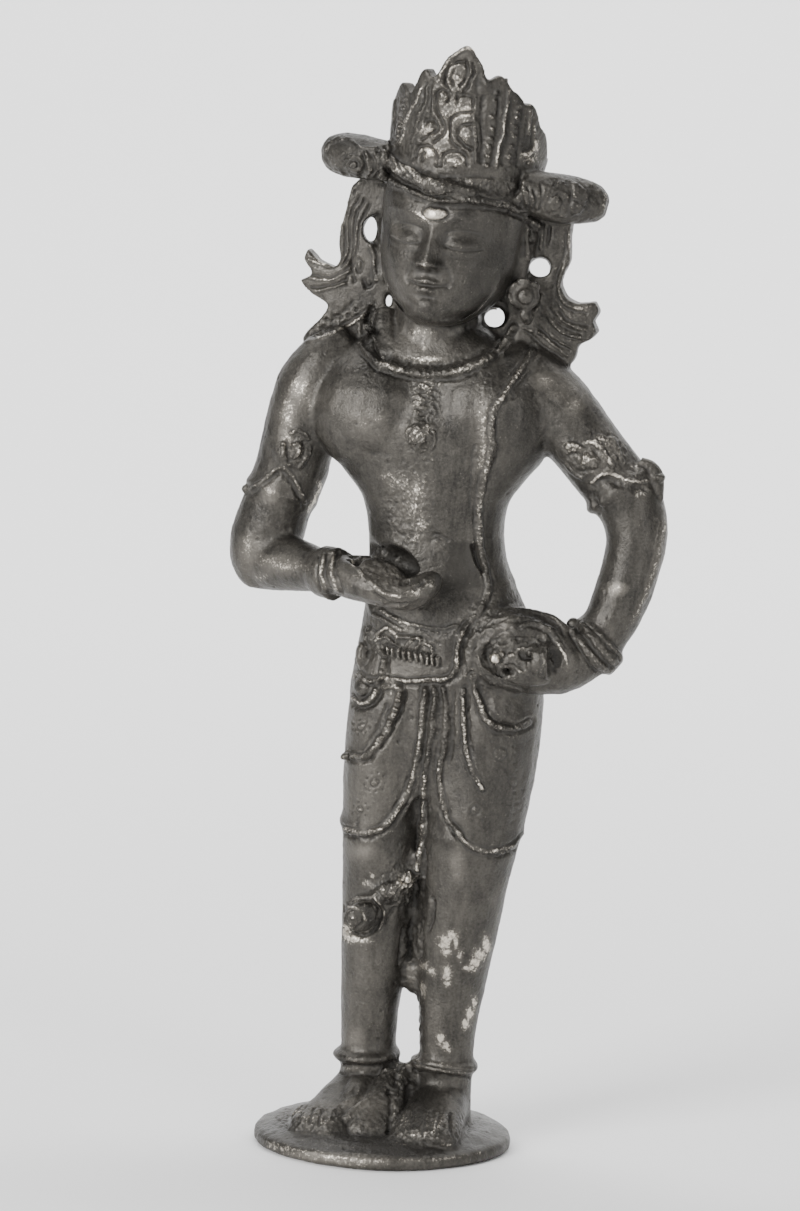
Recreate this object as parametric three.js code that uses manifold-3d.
// Standing figure cast in one with its round disc base. Millimetres, +Z up.
// The origin is the centre of the disc's flat underside; the figure faces -Y and +X is its left side.
import * as THREE from 'three';
import { mergeVertices } from 'three/addons/utils/BufferGeometryUtils.js';
import Module from 'manifold-3d';

const wasm = await Module();
wasm.setup();

// Driving dimensions.
const BASE_RADIUS = 20.6;
const BASE_RIM = 2.4;
const BASE_DOME = 4.0;
const SOLE = 1.4;
const RIM_WANDER = 0.3;
const HEAD_AT = [5.8, 0.3, 147];
const HEAD_TURN = -8;
const HEAD_LEAN = 4;
const CROWN_LEAN = 6;
const CROWN_RADIUS = 12.0;
const CROWN_WALL = 2.2;
const CROWN_FOOT = 8;
const CORD = 0.75;
const FINE_CORD = 0.6;
const FACETS = 9800;
const SLIVER = 2.5e-3;
const SHORTEST = 0.12;
const TOUCH = 0.005;

const vec = (x, y, z) => new THREE.Vector3(x, y, z);
const rad = THREE.MathUtils.degToRad;

// A closed geometry becomes a solid once its seam vertices are shared.
function solid(geometry) {
  const bare = geometry.index ? geometry : geometry.clone();
  bare.deleteAttribute('normal');
  bare.deleteAttribute('uv');
  const merged = mergeVertices(bare, 1e-4);
  const kept = [];
  const index = merged.index.array;
  for (let i = 0; i < index.length; i += 3) {
    const [a, b, c] = [index[i], index[i + 1], index[i + 2]];
    if (a !== b && b !== c && c !== a) kept.push(a, b, c);
  }
  const mesh = new wasm.Mesh({
    numProp: 3,
    vertProperties: new Float32Array(merged.attributes.position.array),
    triVerts: new Uint32Array(kept),
  });
  mesh.merge();
  return new wasm.Manifold(mesh);
}

function join(parts) {
  return parts.reduce((sum, part) => sum.add(part));
}

function geometryOf(body) {
  const mesh = body.getMesh();
  const geometry = new THREE.BufferGeometry();
  geometry.setAttribute('position', new THREE.BufferAttribute(new Float32Array(mesh.vertProperties), 3));
  geometry.setIndex(new THREE.BufferAttribute(new Uint32Array(mesh.triVerts), 1));
  return geometry;
}

// The outer surface alone: pockets closed in between joined shapes are cast solid.
function outerSurface(body) {
  const mesh = body.getMesh();
  const spots = mesh.vertProperties;
  const same = new Map();
  mesh.mergeFromVert.forEach((from, i) => same.set(from, mesh.mergeToVert[i]));
  const corners = Array.from(mesh.triVerts, (corner) => same.get(corner) ?? corner);
  const owner = Array.from({ length: spots.length / 3 }, (_, i) => i);
  const find = (i) => {
    while (owner[i] !== i) i = owner[i] = owner[owner[i]];
    return i;
  };
  for (let i = 0; i < corners.length; i += 3) {
    owner[find(corners[i])] = find(corners[i + 1]);
    owner[find(corners[i + 1])] = find(corners[i + 2]);
  }
  const count = new Map();
  for (const corner of corners) count.set(find(corner), (count.get(find(corner)) ?? 0) + 1);
  const outer = [...count].reduce((a, b) => (b[1] > a[1] ? b : a))[0];
  const geometry = new THREE.BufferGeometry();
  geometry.setAttribute('position', new THREE.BufferAttribute(new Float32Array(spots), 3));
  const kept = [];
  for (let i = 0; i < corners.length; i += 3) {
    if (find(corners[i]) === outer) kept.push(corners[i], corners[i + 1], corners[i + 2]);
  }
  geometry.setIndex(kept);
  return geometry;
}

// Merges facets where the surface is nearly flat, until about the wanted number is left. An edge is
// closed up only if the surface stays closed, no facet turns over, and the underside stays flat.
function fewerFacets(geometry, wanted) {
  const spot = geometry.attributes.position;
  const points = Array.from({ length: spot.count }, (_, i) => [spot.getX(i), spot.getY(i), spot.getZ(i)]);
  const index = geometry.index.array;
  const facets = [];
  const touching = points.map(() => new Set());
  for (let i = 0; i < index.length; i += 3) {
    facets.push([index[i], index[i + 1], index[i + 2]]);
    for (const corner of facets.at(-1)) touching[corner].add(facets.length - 1);
  }
  let left = facets.length;
  const minus = (a, b) => [a[0] - b[0], a[1] - b[1], a[2] - b[2]];
  const dot = (a, b) => a[0] * b[0] + a[1] * b[1] + a[2] * b[2];
  const cross = (a, b) => [a[1] * b[2] - a[2] * b[1], a[2] * b[0] - a[0] * b[2], a[0] * b[1] - a[1] * b[0]];
  const normal = (a, b, c) => cross(minus(b, a), minus(c, a));

  // Sum of squared distances to the planes around each corner, as ten numbers of a symmetric matrix.
  const errors = points.map(() => new Float64Array(10));
  for (const facet of facets) {
    const [a, b, c] = facet.map((corner) => points[corner]);
    const n = normal(a, b, c);
    const size = Math.sqrt(dot(n, n)) || 1e-12;
    const [x, y, z] = n.map((part) => part / size);
    const w = -dot([x, y, z], a);
    const terms = [x * x, x * y, x * z, x * w, y * y, y * z, y * w, z * z, z * w, w * w];
    for (const corner of facet) terms.forEach((term, k) => { errors[corner][k] += term * size; });
  }
  const cost = (q, [x, y, z]) => q[0] * x * x + q[4] * y * y + q[7] * z * z + q[9]
    + 2 * (q[1] * x * y + q[2] * x * z + q[5] * y * z + q[3] * x + q[6] * y + q[8] * z);

  const onFloor = (p) => p[2] < 1e-6;
  const choices = (u, v) => {
    const [p, q] = [points[u], points[v]];
    if (onFloor(p) !== onFloor(q)) return [onFloor(p) ? p : q];
    return [p, q, [0, 1, 2].map((k) => (p[k] + q[k]) / 2)];
  };
  const best = (u, v) => {
    const q = errors[u].map((term, k) => term + errors[v][k]);
    const span = minus(points[u], points[v]);
    let pick = null;
    for (const place of choices(u, v)) {
      const value = Math.max(cost(q, place), 0) + 1e-4 * dot(span, span) - (dot(span, span) < SHORTEST ** 2 ? 1 : 0);
      if (!pick || value < pick.value) pick = { value, place };
    }
    return pick;
  };
  const slimness = (three) => {
    const sides = three.map((corner, k) => minus(three[(k + 1) % 3], corner));
    const longest = Math.max(...sides.map((side) => dot(side, side)));
    const n = normal(...three);
    return dot(n, n) / (longest * longest + 1e-18);
  };
  const neighbours = (u) => {
    const set = new Set();
    for (const f of touching[u]) for (const corner of facets[f]) if (corner !== u) set.add(corner);
    return set;
  };
  const keepsFacing = (u, v, place) => {
    for (const end of [u, v]) {
      for (const f of touching[end]) {
        const facet = facets[f];
        if (facet.includes(u) && facet.includes(v)) continue;
        const before = normal(...facet.map((corner) => points[corner]));
        const moved = facet.map((corner) => (corner === end ? place : points[corner]));
        const after = normal(...moved);
        const sizes = Math.sqrt(dot(before, before) * dot(after, after));
        const [slimBefore, slimAfter] = [slimness(facet.map((corner) => points[corner])), slimness(moved)];
        if (slimAfter < SLIVER && slimAfter <= slimBefore) return false;
        if (slimBefore > SLIVER && dot(before, after) < 0.35 * sizes) return false;
      }
    }
    return true;
  };

  for (let round = 0; round < 60; round++) {
    const edges = [];
    for (let f = 0; f < facets.length; f++) {
      if (!facets[f]) continue;
      for (let k = 0; k < 3; k++) {
        const [u, v] = [facets[f][k], facets[f][(k + 1) % 3]];
        if (u < v) edges.push({ u, v, ...best(u, v) });
      }
    }
    edges.sort((a, b) => a.value - b.value);
    const limit = edges[Math.floor(edges.length * 0.3)].value;
    const used = new Set();
    let closed = 0;
    for (const { u, v, value, place } of edges) {
      if (value > limit || (left <= wanted && value > 0)) break;
      if (used.has(u) || used.has(v)) continue;
      const [around, beside] = [neighbours(u), neighbours(v)];
      const shared = [...around].filter((corner) => beside.has(corner));
      if (shared.length !== 2 || (value > 0 && !keepsFacing(u, v, place))) continue;
      for (const f of [...touching[v]]) {
        if (facets[f].includes(u)) {
          for (const corner of facets[f]) touching[corner].delete(f);
          facets[f] = null;
          left -= 1;
        } else {
          facets[f] = facets[f].map((corner) => (corner === v ? u : corner));
          touching[u].add(f);
        }
      }
      touching[v].clear();
      points[u] = place;
      errors[v].forEach((term, k) => { errors[u][k] += term; });
      for (const corner of [u, v, ...around, ...beside]) used.add(corner);
      closed += 1;
    }
    if (!closed) break;
  }

  // Where two sheets still touch at a corner, one corner is drawn a hair inwards.
  const cells = new Map();
  touching.forEach((around, u) => {
    if (!around.size) return;
    const cell = points[u].map((part) => Math.round(part / TOUCH)).join();
    if (!cells.has(cell)) cells.set(cell, []);
    cells.get(cell).push(u);
  });
  const nearby = (u) => {
    const [i, j, k] = points[u].map((part) => Math.round(part / TOUCH));
    const found = [];
    for (let a = -1; a < 2; a++) {
      for (let b = -1; b < 2; b++) {
        for (let c = -1; c < 2; c++) found.push(...(cells.get([i + a, j + b, k + c].join()) ?? []));
      }
    }
    return found.filter((w) => w < u && Math.sqrt(dot(minus(points[w], points[u]), minus(points[w], points[u]))) < TOUCH);
  };
  const shifts = [];
  touching.forEach((around, u) => {
    const others = around.size ? nearby(u).length : 0;
    if (!others) return;
    const inward = [0, 0, 0];
    for (const f of around) {
      normal(...facets[f].map((corner) => points[corner])).forEach((part, k) => { inward[k] -= part; });
    }
    const size = Math.sqrt(dot(inward, inward)) || 1;
    shifts.push([u, inward.map((part) => (part / size) * 3 * TOUCH * others)]);
  });
  for (const [u, shift] of shifts) points[u] = points[u].map((part, k) => part + shift[k]);

  const names = new Map();
  const spots = [];
  const corners = [];
  for (const facet of facets) {
    if (!facet) continue;
    for (const corner of facet) {
      if (!names.has(corner)) {
        names.set(corner, names.size);
        spots.push(...points[corner]);
      }
      corners.push(names.get(corner));
    }
  }
  const fewer = new THREE.BufferGeometry();
  fewer.setAttribute('position', new THREE.BufferAttribute(new Float32Array(spots), 3));
  fewer.setIndex(corners);
  return fewer;
}

// Smooth values between stations, at t from 0 to 1.
function between(stations, t) {
  const last = stations.length - 1;
  const place = Math.min(Math.max(t, 0), 1) * last;
  const i = Math.min(Math.floor(place), last - 1);
  const f = place - i;
  const at = (k) => stations[Math.min(Math.max(k, 0), last)];
  return stations[0].map((_, n) => {
    const [a, b, c, d] = [at(i - 1)[n], at(i)[n], at(i + 1)[n], at(i + 2)[n]];
    return b + 0.5 * f * (c - a + f * (2 * a - 5 * b + 4 * c - d + f * (3 * (b - c) + d - a)));
  });
}

// A limb through stations [x, y, z, half width, half depth], with flat ends.
function limb(stations, { sides = 16, steps = 3, square = 2, upright = false, facing = [0, 1, 0] } = {}) {
  const shape = new THREE.CylinderGeometry(1, 1, 1, sides, (stations.length - 1) * steps);
  const spot = shape.attributes.position;
  for (let i = 0; i < spot.count; i++) {
    const t = spot.getY(i) + 0.5;
    const here = between(stations, t);
    const ahead = between(stations, t + 0.02);
    const behind = between(stations, t - 0.02);
    const along = upright ? vec(0, 0, ahead[2] > behind[2] ? 1 : -1)
      : vec(ahead[0] - behind[0], ahead[1] - behind[1], ahead[2] - behind[2]).normalize();
    const side = vec(...facing).cross(along).normalize();
    const deep = side.clone().cross(along);
    const [u, w] = [spot.getX(i), spot.getZ(i)];
    const length = Math.hypot(u, w);
    const full = length < 1e-6 ? 0
      : length / (Math.abs(u / length) ** square + Math.abs(w / length) ** square) ** (1 / square);
    const place = vec(here[0], here[1], here[2])
      .addScaledVector(side, length < 1e-6 ? 0 : (u / length) * full * here[3])
      .addScaledVector(deep, length < 1e-6 ? 0 : (w / length) * full * here[4]);
    spot.setXYZ(i, place.x, place.y, place.z);
  }
  return shape;
}

// A trunk through levels [z, left, right, front, back].
function trunk(levels, { sides = 24, steps = 2, square = 2.3 } = {}) {
  const stations = levels.map(([z, left, right, front, back]) =>
    [(left + right) / 2, (front + back) / 2, z, (right - left) / 2, (back - front) / 2]);
  return limb(stations, { sides, steps, square, upright: true });
}

function ball(at, radii, { sides = 12, rings = 8, turn = [0, 0, 0] } = {}) {
  const shape = new THREE.SphereGeometry(1, sides, rings);
  shape.rotateX(Math.PI / 2);
  shape.scale(...radii);
  shape.applyMatrix4(new THREE.Matrix4().makeRotationFromEuler(new THREE.Euler(...turn.map(rad))));
  shape.translate(...at);
  return shape;
}

// A ring of round section about a limb: its middle, its axis, its two radii and its thickness.
function ring(at, axis, [wide, deep], thick, { around = 20, section = 6 } = {}) {
  const shape = new THREE.TorusGeometry(1, 1, section, around);
  const spot = shape.attributes.position;
  const along = vec(...axis).normalize();
  const side = vec(0, 1, 0).cross(along).normalize();
  const front = side.clone().cross(along);
  const tube = new THREE.TorusGeometry(10, 1, section, around).attributes.position;
  for (let i = 0; i < spot.count; i++) {
    const angle = Math.atan2(tube.getY(i), tube.getX(i));
    const out = Math.hypot(tube.getX(i), tube.getY(i)) - 10;
    const place = vec(...at)
      .addScaledVector(side, Math.cos(angle) * (wide + out * thick))
      .addScaledVector(front, Math.sin(angle) * (deep + out * thick))
      .addScaledVector(along, -tube.getZ(i) * thick);
    spot.setXYZ(i, place.x, place.y, place.z);
  }
  return shape;
}

// A cord along points in space, with an even many-sided section.
function cord(points, radius, { section = 5, steps = 0 } = {}) {
  const path = new THREE.CatmullRomCurve3(points, false, 'catmullrom', 0.5);
  const outline = new THREE.Shape();
  for (let i = 0; i < section; i++) {
    const angle = (i / section) * 2 * Math.PI;
    const [x, y] = [radius * Math.cos(angle), radius * Math.sin(angle)];
    if (i) outline.lineTo(x, y);
    else outline.moveTo(x, y);
  }
  return new THREE.ExtrudeGeometry(outline, {
    steps: steps || Math.max(4, Math.round(path.getLength() / (radius * 2.4))),
    extrudePath: path,
    bevelEnabled: false,
  });
}

// A flat plate in the XZ plane from an outline, from y = front to y = back.
function plate(outline, front, back, curve = 2) {
  const shape = new THREE.Shape();
  const edge = new THREE.CatmullRomCurve3(outline.map(([x, z]) => vec(x, z, 0)), true, 'catmullrom', 0.35);
  edge.getPoints(outline.length * curve).slice(0, -1).forEach((p, i) => {
    if (i) shape.lineTo(p.x, p.y);
    else shape.moveTo(p.x, p.y);
  });
  const body = new THREE.ExtrudeGeometry(shape, { depth: back - front, bevelEnabled: false });
  body.rotateX(Math.PI / 2);
  body.translate(0, back, 0);
  return body;
}

// Places a shape made about the head's own middle, or the crown's own foot.
function onHead(shape, lean = HEAD_LEAN) {
  shape.rotateZ(rad(HEAD_TURN));
  shape.rotateY(rad(lean));
  shape.translate(...HEAD_AT);
  return shape;
}

// The disc base, its edge a little out of round
function discBase() {
  const profile = [[0, 0], [BASE_RADIUS - 0.5, 0], [BASE_RADIUS, 0.5], [BASE_RADIUS - 0.05, BASE_RIM - 0.5],
    [BASE_RADIUS - 0.6, BASE_RIM], [BASE_RADIUS - 4, BASE_DOME - 0.6], [BASE_RADIUS * 0.6, BASE_DOME - 0.2], [0, BASE_DOME]];
  const disc = new THREE.LatheGeometry(profile.map(([r, z]) => new THREE.Vector2(r, z)), 40);
  disc.rotateX(Math.PI / 2);
  const spot = disc.attributes.position;
  for (let i = 0; i < spot.count; i++) {
    const [x, y] = [spot.getX(i), spot.getY(i)];
    const angle = Math.atan2(y, x);
    const r = Math.hypot(x, y);
    const wander = 1 + (RIM_WANDER / BASE_RADIUS) * (Math.sin(2 * angle + 0.6) + 0.6 * Math.sin(5 * angle + 2));
    if (r > 1) spot.setXY(i, x * wander, y * wander);
  }
  return disc;
}

// Legs, feet and the web left between them
const LEFT_LEG = [
  [-3.2, 1.6, 2.5, 4.6, 5.2], [-3.2, 1.5, 9, 4.5, 4.8], [-3.1, 1.6, 15, 4.4, 4.6], [-3.2, 1.6, 21, 4.7, 5.1],
  [-2.9, 1.8, 28, 5.3, 6.1], [-2.4, 0.9, 36, 5.8, 6.4], [-2.1, -0.2, 44, 6.1, 6.4],
  [-1.9, -0.2, 52, 6.5, 7.6], [-1.7, 0, 61, 7.0, 8.8], [-0.8, 0.2, 72, 7.4, 9.6], [0, 0.2, 78, 6, 8],
];
const RIGHT_LEG = [
  [9.6, 1.6, 2.5, 4.6, 5.2], [9.6, 1.5, 9, 4.5, 4.8], [9.7, 1.6, 15, 4.4, 4.6], [9.8, 1.6, 21, 4.9, 5.2],
  [10.2, 1.8, 28, 5.7, 6.3], [10.9, 0.9, 36, 6.6, 6.8], [11.6, -0.2, 44, 7.3, 7.0],
  [12.5, -0.2, 52, 8.1, 8.0], [13.7, 0, 61, 8.7, 9.0], [14.9, 0.2, 72, 8.4, 9.8], [15, 0.2, 78, 7, 8],
];

// A foot from heel to toes, its sole in the disc: stations are part of its length, top height, half width.
const FOOT = [[-0.04, 6.0, 2.0], [0.0, 8.4, 3.4], [0.14, 11.0, 4.2], [0.32, 11.8, 4.4], [0.48, 10.4, 4.6], [0.64, 8.8, 4.9],
  [0.78, 7.6, 5.3], [0.9, 6.8, 5.3], [0.98, 6.0, 4.9], [1.02, 4.8, 4.3]];

function foot(heel, toes, wide) {
  const stations = FOOT.map(([part, top, half]) => {
    const [x, y] = [heel[0] + (toes[0] - heel[0]) * part, heel[1] + (toes[1] - heel[1]) * part];
    return [x, y, (top + SOLE) / 2, half * wide, (top - SOLE) / 2];
  });
  return limb(stations, { sides: 14, steps: 1, square: 2.5, facing: [0, 0, 1] });
}

function legs() {
  return [
    limb(LEFT_LEG, { sides: 16, steps: 2 }),
    limb(RIGHT_LEG, { sides: 16, steps: 2 }),
    foot([-2.6, 6.4], [-9.1, -11.8], 1.0),
    foot([9.4, 6.4], [9.0, -12.8], 1.06),
    limb([[4.2, 1.5, 24.5, 1.0, 1.0], [4.1, 1.5, 27, 2.6, 2.0], [4.2, 1.2, 36, 2.8, 2.4], [4.6, 1, 48, 3.2, 3.2],
      [5, 0, 58, 3.4, 5]], { sides: 10, steps: 2 }),
    limb([[1.6, -3.6, 2, 5.6, 5.0], [2.3, -2.4, 6.2, 4.0, 3.4], [3.1, -0.6, 10, 2.9, 2.2], [3.4, 0.6, 13.0, 2.2, 1.6]],
      { sides: 8, steps: 2 }),
  ];
}

// Trunk from the hips to the shoulders
const TRUNK = [
  [58, -3, 17, -6.8, 8.2], [64, -7.4, 20.6, -8.2, 10.0], [70, -8.2, 22.8, -9.2, 10.8], [76, -8.0, 23.1, -9.6, 10.6],
  [82, -6.9, 22.4, -9.8, 9.6], [88, -6.0, 20.2, -9.6, 8.4], [94, -5.7, 17.2, -9.1, 7.6], [100, -5.9, 15.8, -8.7, 7.0],
  [106, -7.2, 16.6, -9.2, 7.2], [112, -12.2, 21.2, -10.0, 8.2], [118, -15.2, 24.0, -10.6, 8.8],
  [123.5, -16.5, 25.0, -9.0, 8.6], [127.5, -14.2, 22.2, -7.0, 7.8], [130.5, -8.0, 16.5, -5.4, 7.0],
  [133, -3.5, 11.5, -4.2, 6.6],
];

function torso() {
  return [
    trunk(TRUNK, { sides: 24, steps: 2, square: 2.4 }),
    ball([-4.6, -2.2, 119], [11.2, 9.0, 10.4], { sides: 14, rings: 8 }),
    ball([12.0, -2.2, 120], [11.4, 8.8, 10.4], { sides: 14, rings: 8 }),
    limb([[3.8, 1.2, 126, 8.2, 6.6], [3.6, 1.0, 130, 7.8, 6.4], [3.6, 0.8, 134, 7.0, 6.2], [4.6, 0.6, 140, 6.8, 6]],
      { sides: 16, steps: 2 }),
  ];
}

// Arms and hands
const LEFT_ARM = [
  [-10.5, 0.5, 131, 2.0, 3.2], [-13.6, 0.5, 127.4, 4.6, 5.4], [-16.2, 0.4, 122, 6.1, 6.6], [-17.8, 0.4, 115.5, 5.9, 6.4],
  [-19.1, 0.5, 109, 6.0, 6.1], [-21.3, 0.6, 103, 5.7, 5.8], [-23.0, 0.6, 97, 5.9, 5.6], [-23.5, 0.5, 92.4, 5.0, 4.6],
  [-23.7, 0.4, 89.2, 2.4, 2.2],
];
const LEFT_FOREARM = [
  [-26.4, 3.0, 95.0, 2.6, 2.4], [-23.2, 0.6, 94.2, 5.1, 4.4], [-18.8, -3.0, 94.1, 4.7, 4.3], [-14.4, -6.4, 94.0, 3.9, 3.8],
  [-10.6, -9.2, 93.9, 3.3, 3.3], [-8.2, -10.8, 93.8, 3.2, 3.2],
];
const RIGHT_ARM = [
  [15.5, 0.5, 130, 2.2, 3.2], [19.2, 0.5, 126.0, 4.8, 5.6], [23.6, 0.4, 121.0, 5.9, 6.5], [28.0, 0.4, 115.6, 5.7, 6.2],
  [32.2, 0.4, 110.8, 5.6, 5.9], [35.8, 0.2, 106.4, 5.4, 5.6], [37.1, -0.1, 101.6, 5.0, 5.2],
  [36.4, -0.7, 96.2, 4.7, 4.9], [35.0, -1.6, 91.0, 4.6, 4.7], [33.0, -2.8, 86.4, 4.2, 4.4],
  [29.9, -4.4, 82.4, 4.2, 4.2], [26.0, -5.8, 80.6, 4.4, 4.0], [21.0, -7.2, 80.0, 3.9, 3.2],
];

function arms() {
  return [
    limb(LEFT_ARM, { sides: 14, steps: 2 }),
    limb(LEFT_FOREARM, { sides: 14, steps: 2 }),
    limb(RIGHT_ARM, { sides: 14, steps: 2 }),
  ];
}

// The open hand in front of the belly: a cupped palm with its fingers turned up, and a thumb.
function cuppedHand() {
  const palm = join([
    solid(limb([
      [-10.0, -9.8, 93.8, 3.2, 3.2], [-6.2, -12.0, 93.4, 3.2, 4.2], [-2.0, -13.6, 92.6, 2.9, 4.7],
      [2.2, -14.0, 92.2, 2.6, 4.4], [5.2, -13.6, 93.1, 2.5, 3.9], [6.8, -12.8, 94.3, 1.8, 3.1],
      [7.4, -12.4, 95.2, 0.9, 1.8]], { sides: 12, steps: 2 })),
    solid(limb([[-7.6, -9.0, 95.2, 1.7, 1.6], [-4.0, -9.4, 95.6, 1.6, 1.6], [-0.6, -10.4, 95.0, 1.5, 1.4],
      [1.8, -11.2, 94.2, 0.9, 0.9]], { sides: 8, steps: 2 })),
  ]);
  return palm.subtract(solid(ball([-0.6, -13.0, 96.4], [6.4, 3.1, 3.3], { sides: 14, rings: 10, turn: [0, 4, -10] })));
}

// The scarf wound about the hand on the hip, hollowed where the bell lies in it.
const BELL_AXIS_Z = 82.2;
function scarfHand() {
  const mass = join([
    solid(ball([18.6, -6.4, 83.0], [8.4, 5.0, 6.9], { sides: 20, rings: 12 })),
    solid(ball([25.2, -6.4, 82.0], [6.2, 4.4, 5.6], { sides: 16, rings: 10 })),
  ]);
  const hollow = solid(ball([20.6, -12.0, BELL_AXIS_Z], [7.2, 4.0, 3.9], { sides: 16, rings: 10 }));
  const folds = [];
  for (const [grow, start, end] of [[1.0, 20, 250], [1.24, 10, 245], [1.48, 35, 225]]) {
    const points = [];
    for (let angle = start; angle <= end; angle += (end - start) / 8) {
      const turn = rad(angle);
      points.push([19.4 + 7.4 * grow * Math.cos(turn), BELL_AXIS_Z + 0.2 + 4.8 * grow * Math.sin(turn)]);
    }
    folds.push(points);
  }
  return { mass: mass.subtract(hollow), folds };
}

function bell() {
  const profile = [[0, 0], [0.9, 0.1], [1.4, 0.9], [1.0, 1.7], [0.8, 2.1], [1.6, 2.9], [1.5, 4.4], [0.9, 5.0],
    [1.1, 5.6], [2.4, 6.2], [2.9, 7.6], [3.2, 9.4], [3.5, 9.8], [0, 9.8]];
  const turned = new THREE.LatheGeometry(profile.map(([r, z]) => new THREE.Vector2(r, z)), 12);
  turned.rotateZ(-Math.PI / 2);
  turned.translate(15.8, -9.6, BELL_AXIS_Z);
  return turned;
}

// Head, in its own frame: z up, -y forwards, its middle at the origin
const HEAD = [
  [-13.2, -2.6, 2.6, -9.4, -3], [-12.2, -5.0, 5.0, -10.8, 1], [-10, -7.8, 7.8, -11.7, 4], [-7, -9.9, 9.9, -12, 7.5],
  [-3, -11.2, 11.2, -11.9, 10], [1, -11.7, 11.7, -11.6, 11.4], [5, -11.9, 11.9, -11.6, 12], [9, -11.6, 11.6, -11.6, 12.2],
  [13, -10.8, 10.8, -11, 11.6], [18, -8.6, 8.6, -8.6, 9],
];

function head() {
  const shapes = [
    trunk(HEAD, { sides: 24, steps: 2, square: 2.15 }),
    limb([[0, -10.6, 4.2, 0.7, 0.9], [0, -11.8, 1.6, 0.8, 1.1], [0, -12.5, -1.2, 1.2, 1.2], [0, -12.7, -2.9, 1.9, 1.2],
      [0, -12.0, -3.8, 1.4, 0.7]], { sides: 8, steps: 1 }),
    ball([0, -11.6, -6.1], [2.7, 1.3, 0.65], { sides: 10, rings: 6 }),
    ball([0, -11.5, -7.4], [2.2, 1.3, 0.75], { sides: 10, rings: 6 }),
    ball([0, -9.8, -10.8], [2.9, 2.0, 2.0], { sides: 10, rings: 6 }),
    ball([0, -11.3, 4.9], [2.0, 1.2, 1.1], { sides: 12, rings: 8 }),
  ];
  for (const side of [-1, 1]) {
    shapes.push(
      ball([side * 4.5, -10.1, 1.0], [2.7, 1.5, 1.3], { sides: 10, rings: 6 }),
      limb([[side * 11.4, 0.8, 6.2, 0.8, 1.4], [side * 12.2, 1.0, 3.6, 1.1, 2.3], [side * 12.0, 0.8, -0.4, 1.0, 2.0],
        [side * 11.4, 0.2, -4.4, 1.1, 1.5], [side * 11.0, -0.4, -7.6, 1.2, 1.5], [side * 10.7, -0.6, -9, 0.6, 0.7]],
      { sides: 8, steps: 2 }),
    );
  }
  shapes.push(limb([[-1.5, 6, 0, 8.6, 4.6], [-2.0, 8, -8, 7.6, 3.4], [-2.2, 8.6, -15, 8.6, 2.6], [-2.2, 8.0, -21, 7.4, 1.4]],
    { sides: 14, steps: 2 }));
  return shapes.map((shape) => onHead(shape));
}

// The leaves of the crown: the angle of each from the front, half its width, and its tip above the foot.
const LEAVES = [[-112, 16, 7.4, 1], [-86, 12, 9.4, 1.6], [-68, 12, 12.8, 2.6], [-49, 13, 15.9, 2.4], [-24, 10, 18.9, 3.4],
  [5, 19, 23.3, 5.0], [33, 11, 19.5, 2.2], [47, 8, 17.1, 1.6], [61, 10, 15.7, 2], [79, 11, 11.8, 2], [104, 16, 7.0, 1.2]];
const CROWN_BACK = 6.5;

function crownHeight(angle) {
  return LEAVES.reduce((high, [at, half, tip, drop]) => {
    const away = Math.abs(angle - at) / half;
    return Math.max(high, away > 1.6 ? 0 : tip - drop * away ** 1.5);
  }, CROWN_BACK);
}

// The wall of leaves: a ring with an inner and an outer face, its upper line cut into points.
function crownWall() {
  const around = 90;
  const shape = new THREE.LatheGeometry([[0, 0], [0, 1], [0, 2], [1, 2], [1, 0], [0, 0]]
    .map(([r, z]) => new THREE.Vector2(10 - r, z)), around);
  const spot = shape.attributes.position;
  for (let i = 0; i < spot.count; i++) {
    const angle = Math.atan2(spot.getX(i), -spot.getZ(i));
    const inner = 10 - Math.hypot(spot.getX(i), spot.getZ(i));
    const level = spot.getY(i) / 2;
    const z = CROWN_FOOT + level * crownHeight(THREE.MathUtils.radToDeg(angle));
    const flare = 0.9 * level;
    const r = CROWN_RADIUS + flare - inner * CROWN_WALL;
    spot.setXYZ(i, r * Math.sin(angle), -r * Math.cos(angle) * 0.98, z);
  }
  return shape;
}

function crown() {
  const shapes = [
    crownWall(),
    trunk([[6, -11.8, 11.8, -11.9, 12.2], [9, -11.9, 11.9, -12.0, 12.3], [11, -10.6, 10.6, -10.6, 11],
      [15, -9.0, 9.0, -8.2, 9.6], [19, -7.0, 7.0, -6.0, 8], [23, -4.4, 4.4, -3.6, 5.6], [25, -1.2, 1.2, -0.6, 2.4]],
    { sides: 16, steps: 2, square: 2 }),
  ];
  return shapes.map((shape) => onHead(shape, CROWN_LEAN));
}

// The twisted roll under the leaves and the fillet below it: both sag at the front.
function browBands() {
  const loop = (radius, thick, section, level, slant, sag) => {
    const shape = ring([0, 0, 0], [0, 0, 1], [radius, radius], thick, { around: 36, section });
    const spot = shape.attributes.position;
    for (let i = 0; i < spot.count; i++) {
      const turn = Math.atan2(spot.getX(i), -spot.getY(i));
      spot.setZ(i, spot.getZ(i) + level - slant * Math.sin(turn) - sag * Math.max(Math.cos(turn), 0));
    }
    return onHead(shape, 5);
  };
  return [loop(12.5, 1.3, 7, 10.2, 2.7, 1.0), loop(11.8, 0.8, 5, 7.3, 2.2, 0.5)];
}

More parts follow.
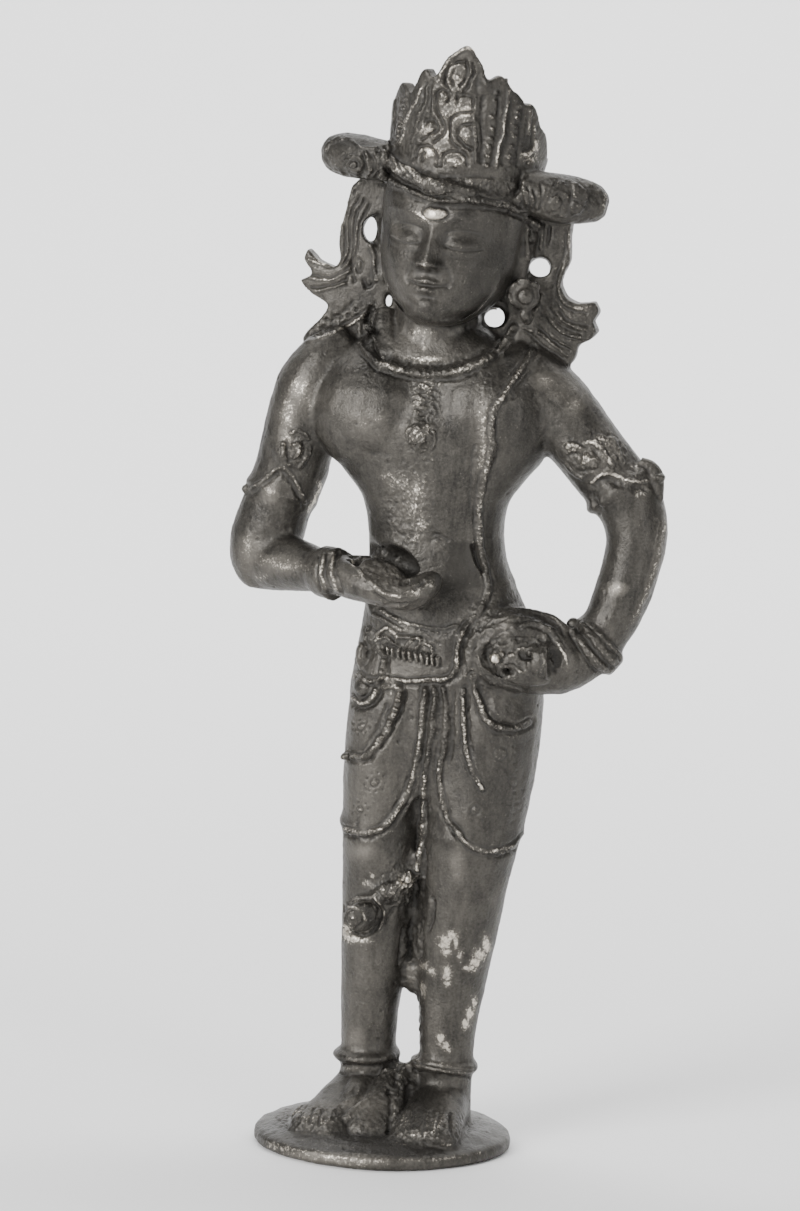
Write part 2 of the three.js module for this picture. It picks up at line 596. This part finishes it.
// Fans of the tied ribbon at the temples, and the ribbon ends that fall to the shoulders
function templeFans() {
  return [
    limb([[-3.5, -5.0, 159.0, 3.1, 3.6], [-8.0, -3.6, 159.4, 3.5, 3.8], [-12.0, -1.6, 159.6, 3.6, 3.4],
      [-14.4, -0.2, 159.8, 2.8, 2.6], [-15.5, 0.4, 159.9, 1.6, 1.4]], { sides: 12, steps: 2 }),
    limb([[16.5, -5.0, 156.2, 3.0, 3.6], [21.0, -3.6, 154.8, 3.9, 3.8], [25.2, -1.6, 154.2, 3.9, 3.4],
      [28.6, 0.2, 153.8, 3.0, 2.6], [29.8, 0.8, 153.7, 1.6, 1.4]], { sides: 12, steps: 2 }),
    ball([-10.8, -4.8, 159.2], [1.7, 1.0, 1.7], { sides: 12, rings: 6 }),
    ball([24.6, -4.8, 154.8], [3.2, 1.0, 3.0], { sides: 14, rings: 6 }),
  ];
}

const LEFT_RIBBON = [
  [-7.5, 157], [-11.2, 154.5], [-12.0, 151], [-12.7, 148], [-13.1, 145.2], [-12.7, 142.9], [-13.7, 141.3],
  [-16.2, 142.1], [-18.2, 144.0], [-18.9, 142.2], [-17.2, 140.0], [-19.4, 138.9], [-17.6, 137.0], [-14.4, 135.4],
  [-15.6, 133.0], [-19.0, 129.6], [-16.0, 126.5], [-9.0, 126.5], [-3.0, 129.5], [-2.0, 134.0], [-3.0, 139.0], [-5.0, 143.2], [-7.0, 145.3],
  [-9.1, 146.8], [-9.0, 149.0], [-7.2, 150.2], [-4.0, 152.5],
];
const RIGHT_RIBBON = [
  [21.5, 156], [24.6, 153], [24.2, 150], [24.1, 147.4], [24.3, 144.4], [23.2, 142.2], [22.9, 140.3], [23.9, 138.5],
  [25.6, 137.7], [28.3, 138.1], [29.1, 136.4], [28.2, 134.9], [29.0, 133.2], [27.8, 131.9], [25.7, 131.1], [26.0, 129.7],
  [25.0, 127.9], [21.0, 125.5], [14.0, 126.5], [10.0, 130.0], [10.6, 133.3], [14.0, 133.6], [14.8, 136.0], [13.6, 138.4], [13.4, 141], [15.6, 146],
  [17.8, 150.5], [18.0, 155.0],
];

function ribbons() {
  const bent = (shape, from, amount) => {
    const spot = shape.attributes.position;
    for (let i = 0; i < spot.count; i++) spot.setY(i, spot.getY(i) + amount * (spot.getX(i) - from) ** 2);
    return shape;
  };
  return [
    solid(bent(plate(LEFT_RIBBON, 0.4, 4.0), -6, 0.012)),
    solid(bent(plate(RIGHT_RIBBON, 0.4, 4.0), 18, 0.012)),
  ];
}

// Openings left through the casting beside the head: place at y = 0, half width and half height.
const OPENINGS = [[19.75, 143.4, 1.75, 1.6], [12.7, 134.9, 1.3, 1.3], [-7.8, 147.8, 1.1, 1.95], [-4.3, 136.7, 0.6, 1.3]];
const OPENING_RUN = [0.175, -1, 0.15];

function openings() {
  return OPENINGS.map(([x, z, wide, tall]) => limb([-14, 14].map((y) =>
    [x - OPENING_RUN[0] * y, y, z - OPENING_RUN[2] * y, wide, tall]), { sides: 12, steps: 1, facing: [0, 0, 1] }));
}

function earrings() {
  return [
    ball([17.8, -3.4, 139.0], [2.7, 1.8, 2.7], { sides: 14, rings: 8 }),
    ball([18.4, -2.6, 135.6], [1.3, 1.3, 1.7], { sides: 8, rings: 6 }),
    ball([-7.0, -2.8, 141.6], [1.6, 2.0, 1.9], { sides: 12, rings: 8 }),
    ball([-7.4, -2.0, 138.8], [1.0, 1.1, 1.3], { sides: 8, rings: 6 }),
  ];
}

// Assemble the bare body, then lay cords on it by looking along y
const scarf = scarfHand();
const bare = join([
  solid(discBase()),
  ...legs().map(solid),
  ...torso().map(solid),
  ...arms().map(solid),
  cuppedHand(),
  scarf.mass,
  ...head().map(solid),
]);

const skin = new THREE.Mesh(geometryOf(bare), new THREE.MeshStandardMaterial());
const caster = new THREE.Raycaster();

// The point of the bare body at x, z, seen from the front (-1) or from the back (1), sunk by a depth.
function touch(x, z, side = -1, sink = 0.1) {
  caster.set(vec(x, side * 80, z), vec(0, -side, 0));
  const hit = caster.intersectObject(skin)[0];
  return vec(x, hit ? hit.point.y - side * sink : side * 6, z);
}

const laid = (points, side = -1, sink = 0.1) => points.map(([x, z]) => touch(x, z, side, sink));

// Points of a route made closer, so that the cord follows the skin between them.
function closer(points, times = 2) {
  const path = new THREE.CatmullRomCurve3(points.map(([x, z]) => vec(x, 0, z)), false, 'catmullrom', 0.5);
  return path.getPoints((points.length - 1) * times).map((p) => [p.x, p.z]);
}

const laidCord = (points, radius, options = {}) =>
  cord(laid(closer(points, options.times ?? 2), options.side ?? -1, options.sink ?? 0.1), radius, options);

const NECKLACE = [[-6.6, 132.4], [-6.0, 130.2], [-4.3, 128.3], [-1.5, 126.7], [2.6, 125.8], [6.5, 126.1], [11.3, 127.6],
  [14.6, 129.9], [16.4, 132.2]];
const SACRED_CORD = [[20.0, 130.2], [18.4, 127.7], [16.2, 124.7], [14.4, 121.4], [13.9, 117.9], [14.0, 113.2],
  [13.5, 108.4], [13.1, 103.6], [13.2, 99.6], [14.2, 95.7], [14.5, 92.5], [13.4, 89.6], [11.0, 87.1], [10.2, 84.2]];
const PENDANT_CORD = [[3.4, 125.3], [2.9, 122.4], [2.6, 119.6]];
const BELT_TOP = [[-5.6, 89.6], [-3.6, 87.4], [-0.6, 85.8], [3.6, 84.6], [8.2, 84.2], [12.0, 85.6], [14.6, 88.4], [16.6, 91.5],
  [17.4, 93.2]];
const BELT_LOW = [[-6.8, 79.6], [-4.0, 78.0], [-0.4, 77.4], [4.0, 77.2], [8.4, 77.6], [11.2, 78.8]];
const BELT_BACK = [[17.6, 93.0], [13.0, 91.4], [6.0, 90.6], [-1.0, 90.4], [-5.4, 90.4]];
const LOW_BACK = [[21.8, 80.0], [14.0, 79.2], [7.0, 79.0], [0.0, 79.0], [-6.8, 79.8]];
const LEFT_HEM = [[-8.2, 53.6], [-6.8, 52.2], [-2.7, 51.8], [0.2, 52.7], [2.0, 55.0], [3.6, 58.0], [4.8, 62.7], [5.2, 68.4],
  [5.8, 76.4]];
const RIGHT_HEM = [[8.2, 76.4], [8.4, 70.0], [8.2, 64.0], [8.8, 58.5], [10.6, 54.6], [13.0, 52.2], [15.6, 50.9],
  [18.6, 50.9], [20.6, 52.4]];
const LEFT_APRON = [[0.4, 76.6], [1.2, 73.6], [0.2, 68.2], [-2.0, 65.4], [-4.8, 64.0], [-7.6, 64.6]];
const RIGHT_SWAG = [[11.2, 77.0], [11.8, 71.6], [12.4, 67.6], [13.6, 65.0], [15.3, 63.0], [17.2, 61.4]];
const UPPER_SWAG = [[12.7, 78.0], [14.1, 75.0], [15.6, 72.7], [17.9, 71.0], [20.6, 70.9], [22.4, 72.0]];
const PLEATS = [[[6.0, 77], [6.2, 70], [6.3, 62], [6.1, 55], [5.6, 48]], [[7.2, 77], [7.0, 70], [7.0, 63], [6.9, 57]],
  [[4.6, 77], [4.9, 72], [5.2, 67]]];
const TASSEL_STRAP = [[5.6, 48.6], [4.4, 46.6], [2.6, 44.4], [0.2, 42.6], [-1.8, 41.4]];

function ornaments() {
  const parts = [
    laidCord(NECKLACE, 0.95, { sink: 0 }),
    laidCord(SACRED_CORD, FINE_CORD, { times: 1, section: 4 }),
    laidCord(PENDANT_CORD, FINE_CORD, { section: 4 }),
    laidCord(BELT_TOP, FINE_CORD + 0.1, {}),
    laidCord(BELT_LOW, CORD, {}),
    laidCord(BELT_BACK, FINE_CORD + 0.1, { side: 1 }),
    laidCord(LOW_BACK, CORD, { side: 1 }),
    laidCord(LEFT_HEM, CORD, { times: 1 }),
    laidCord(RIGHT_HEM, CORD, { times: 1 }),
    laidCord(LEFT_APRON, CORD, {}),
    laidCord(RIGHT_SWAG, FINE_CORD, { times: 1 }),
    laidCord(UPPER_SWAG, FINE_CORD, { times: 1 }),
    ...PLEATS.map((route) => laidCord(route, FINE_CORD, { times: 1, sink: 0, section: 4 })),
    laidCord(TASSEL_STRAP, 1.5, { sink: -0.4, section: 6 }),
    ...scarf.folds.map((route) => cord(laid(route, -1, 0.2), 0.7, { section: 5, steps: 14 })),
    ball([-3.6, -7.2, 39.2], [2.9, 1.6, 2.9], { sides: 14, rings: 6 }),
    ball([-3.9, -8.8, 39.0], [1.3, 1.2, 1.3], { sides: 10, rings: 6 }),
    ball([3.3, -10.6, 117.0], [2.3, 1.2, 2.2], { sides: 12, rings: 6 }),
    ring([-3.4, 1.5, 14.0], [-0.04, 0, 1], [4.9, 5.2], 0.95, { around: 18 }),
    ring([9.5, 1.5, 13.4], [0.06, 0, 1], [4.9, 5.2], 0.95, { around: 18 }),
    ring([-2.0, -0.1, 52.6], [0.03, -0.05, 1], [6.5, 7.6], 0.7, { around: 20 }),
    ring([12.6, -0.1, 52.6], [0.03, -0.1, 1], [8.1, 8.0], 0.7, { around: 20 }),
    ring([-20.7, 0.5, 105.0], [0.3, 0.12, 1], [5.6, 6.0], 0.75, { around: 18 }),
    ring([33.8, 0.4, 108.8], [-0.6, 0, 0.75], [5.6, 5.9], 0.95, { around: 18 }),
    ball([-19.2, -5.4, 111.6], [1.9, 1.2, 2.6], { sides: 10, rings: 6, turn: [0, -12, 0] }),
    ball([30.4, -5.2, 113.8], [2.6, 1.2, 2.4], { sides: 12, rings: 6 }),
    ball([40.4, -1.4, 111.2], [1.5, 1.7, 1.3], { sides: 8, rings: 6 }),
  ];
  const wrist = (at, axis, radii, gap, count) => {
    const along = vec(...axis).normalize();
    for (let i = 0; i < count; i++) {
      const place = vec(...at).addScaledVector(along, (i - (count - 1) / 2) * gap);
      parts.push(ring(place.toArray(), axis, radii, 0.75, { around: 16, section: 5 }));
    }
  };
  wrist([-10.4, -9.1, 93.8], [0.78, -0.6, -0.04], [3.8, 3.6], 1.25, 3);
  wrist([31.6, -3.6, 84.0], [-0.6, -0.25, -0.72], [4.6, 4.5], 1.35, 3);
  return parts;
}

const figureBody = join([
  bare,
  solid(bell()),
  ...crown().map(solid),
  ...browBands().map(solid),
  ...templeFans().map(solid),
  ...ribbons(),
  ...earrings().map(solid),
  ...ornaments().map(solid),
]).subtract(join(openings().map(solid)));

const bronze = new THREE.MeshStandardMaterial({ color: 0x4a4540, roughness: 0.42, metalness: 0.9 });
const figure = new THREE.Mesh(fewerFacets(outerSurface(figureBody), FACETS), bronze);
figure.name = 'figure';

const part = new THREE.Group();
part.add(figure);

export default part;
